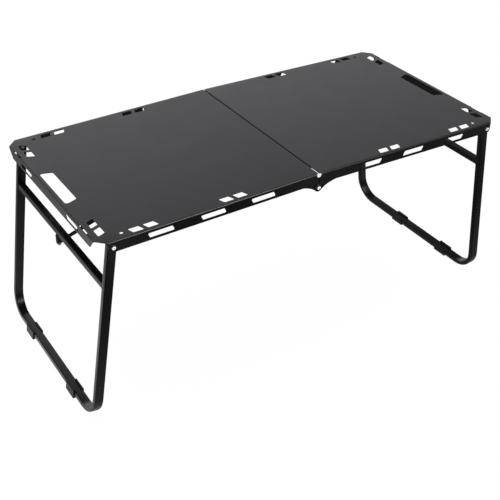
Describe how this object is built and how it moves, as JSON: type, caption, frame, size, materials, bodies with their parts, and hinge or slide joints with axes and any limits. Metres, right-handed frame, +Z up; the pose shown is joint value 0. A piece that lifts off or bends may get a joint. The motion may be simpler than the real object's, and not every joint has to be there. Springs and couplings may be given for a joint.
{
  "type": "folding camp table",
  "caption": "Suitcase-folding camp table: slotted sheet-metal top in two hinged halves over folding U-shaped tube legs with lock struts.",
  "frame": {"origin": "on the floor, below the middle of the seam between the two halves of the top", "axes": "+Z up, +X along the table's length from the left half to the right half, +Y from front to back; the table stands open as in use"},
  "size_m": [1.3094, 0.5704, 0.5401],
  "materials": {
    "powder_coated_sheet": "fine matt powder coat, near black",
    "powder_coated_tube": "smooth black powder coat",
    "zinc_plated_steel": "bright zinc plating",
    "black_nylon": "moulded, matt",
    "black_foot_plastic": "moulded, matt"
  },
  "bodies": {
    "left_half": {"left_top_panel": "powder_coated_sheet", "left_front_leg_rivet": "zinc_plated_steel", "left_back_leg_rivet": "zinc_plated_steel", "left_strut_catch": "powder_coated_tube", "front_centre_rivet": "zinc_plated_steel", "back_centre_rivet": "zinc_plated_steel"},
    "left_legs": {"left_front_leg_spacer": "black_nylon", "left_back_leg_spacer": "black_nylon", "left_leg_frame": "powder_coated_tube", "left_crossbar": "powder_coated_tube", "left_front_foot": "black_foot_plastic", "left_back_foot": "black_foot_plastic", "left_strut_bracket": "powder_coated_tube", "left_strut_pin": "zinc_plated_steel"},
    "left_strut": {"left_lock_strut": "powder_coated_tube", "left_strut_hook_pin": "zinc_plated_steel"},
    "right_half": {"right_top_panel": "powder_coated_sheet", "right_front_leg_rivet": "zinc_plated_steel", "right_back_leg_rivet": "zinc_plated_steel", "right_strut_catch": "powder_coated_tube"},
    "right_legs": {"right_front_leg_spacer": "black_nylon", "right_back_leg_spacer": "black_nylon", "right_leg_frame": "powder_coated_tube", "right_crossbar": "powder_coated_tube", "right_front_foot": "black_foot_plastic", "right_back_foot": "black_foot_plastic", "right_strut_bracket": "powder_coated_tube", "right_strut_pin": "zinc_plated_steel"},
    "right_strut": {"right_lock_strut": "powder_coated_tube", "right_strut_hook_pin": "zinc_plated_steel"}
  },
  "joints": [
    {"name": "centre_fold", "type": "hinge", "parent": "left_half", "child": "right_half", "pos_m": [0, 0, 0.50109], "axis": [0, 1, 0], "range_deg": [0, 100]},
    {"name": "left_leg_fold", "type": "hinge", "parent": "left_half", "child": "left_legs", "pos_m": [-0.5623, 0, 0.516], "axis": [0, -1, 0], "range_deg": [0, 99.1]},
    {"name": "right_leg_fold", "type": "hinge", "parent": "right_half", "child": "right_legs", "pos_m": [0.5623, 0, 0.516], "axis": [0, 1, 0], "range_deg": [0, 99.1]},
    {"name": "left_strut_fold", "type": "hinge", "parent": "left_legs", "child": "left_strut", "pos_m": [-0.58695, 0, 0.37307], "axis": [0, 1, 0], "range_deg": [0, 122.16]},
    {"name": "right_strut_fold", "type": "hinge", "parent": "right_legs", "child": "right_strut", "pos_m": [0.58695, 0, 0.37307], "axis": [0, -1, 0], "range_deg": [0, 122.16]}
  ],
  "couplings": [
    {"joint": "left_strut_fold", "follows": "left_leg_fold", "ratio": 1.2326},
    {"joint": "right_strut_fold", "follows": "right_leg_fold", "ratio": 1.2326}
  ]
}
